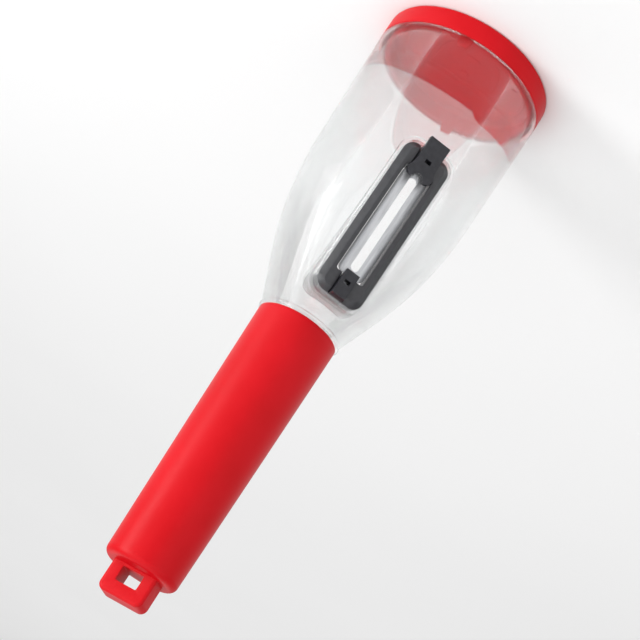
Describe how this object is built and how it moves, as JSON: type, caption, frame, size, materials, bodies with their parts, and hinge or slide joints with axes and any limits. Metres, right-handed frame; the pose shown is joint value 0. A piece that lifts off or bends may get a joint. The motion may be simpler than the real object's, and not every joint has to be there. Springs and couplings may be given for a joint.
{
  "type": "vegetable peeler with peel container",
  "caption": "Hand peeler with a clear bottle-shaped peel container, push-on cap, swivel blade on the shoulder, and a tapered handle with a hang tab.",
  "frame": {"origin": "centre of the cap's flat outer face, which the tool stands on", "axes": "+Z along the tool from the cap to the hang tab, -Y the side that the blade faces, +X to the right seen from the blade's side"},
  "size_m": [0.0686, 0.0708, 0.2429],
  "materials": {
    "red_cap": "satin moulded",
    "clear_container": "clear polished polystyrene",
    "red_handle": "satin moulded",
    "black_frame": "gloss moulded",
    "black_blocks": "satin moulded",
    "blade_steel": "satin stainless",
    "pin_steel": "plain stainless"
  },
  "bodies": {
    "cap": {"cap": "red_cap"},
    "container": {"container": "clear_container", "blade_frame": "black_frame", "upper_bearing_block": "black_blocks", "lower_bearing_block": "black_blocks"},
    "handle": {"handle": "red_handle"},
    "blade": {"blade": "blade_steel", "upper_pivot_pin": "pin_steel", "lower_pivot_pin": "pin_steel"}
  },
  "joints": [
    {"name": "container_lift", "type": "slide", "parent": "cap", "child": "container", "axis": [0, 0, 1], "range_m": [0, 0.11]},
    {"name": "handle_pull", "type": "slide", "parent": "container", "child": "handle", "axis": [0, 0, 1], "range_m": [0, 0.045]},
    {"name": "blade_swivel", "type": "hinge", "parent": "container", "child": "blade", "pos_m": [0, -0.02831, 0.08817], "axis": [0, 0.0941, 0.9956], "range_deg": [-18, 18]}
  ]
}
